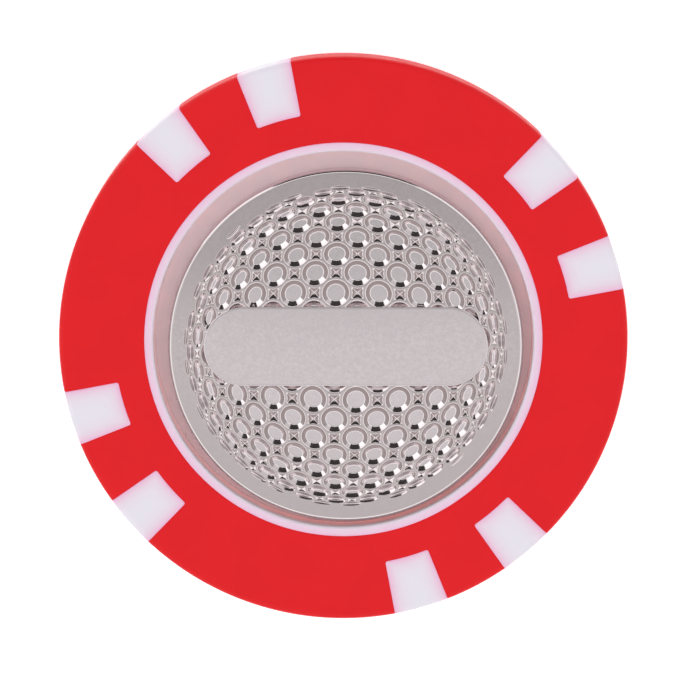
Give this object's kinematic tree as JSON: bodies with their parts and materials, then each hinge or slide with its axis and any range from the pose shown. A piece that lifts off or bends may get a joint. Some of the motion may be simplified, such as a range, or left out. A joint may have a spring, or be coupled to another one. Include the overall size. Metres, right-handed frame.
{
  "type": "poker chip ball marker",
  "caption": "Round two-colour moulded chip with edge spots and a recess that holds a loose metal golf ball marker on a magnet.",
  "frame": {"origin": "on the chip's axis, at the back face that it lies on", "axes": "+Z along the chip's axis, out of the face with the marker; +X to the right and +Y up in the picture"},
  "size_m": [0.04, 0.04, 0.0035],
  "materials": {
    "white_plastic": "satin moulded ABS, slightly translucent white",
    "red_plastic": "satin moulded ABS, bright red",
    "magnet_plating": "dull nickel plating on a sintered magnet",
    "marker_nickel": "bright nickel plating on struck iron"
  },
  "bodies": {
    "chip": {"white_core": "white_plastic", "red_ring": "red_plastic", "magnet": "magnet_plating"},
    "ball_marker": {"marker": "marker_nickel"}
  },
  "joints": [
    {"name": "marker_lift", "type": "slide", "parent": "chip", "child": "ball_marker", "axis": [0, 0, 1], "range_m": [0, 0.015]}
  ]
}
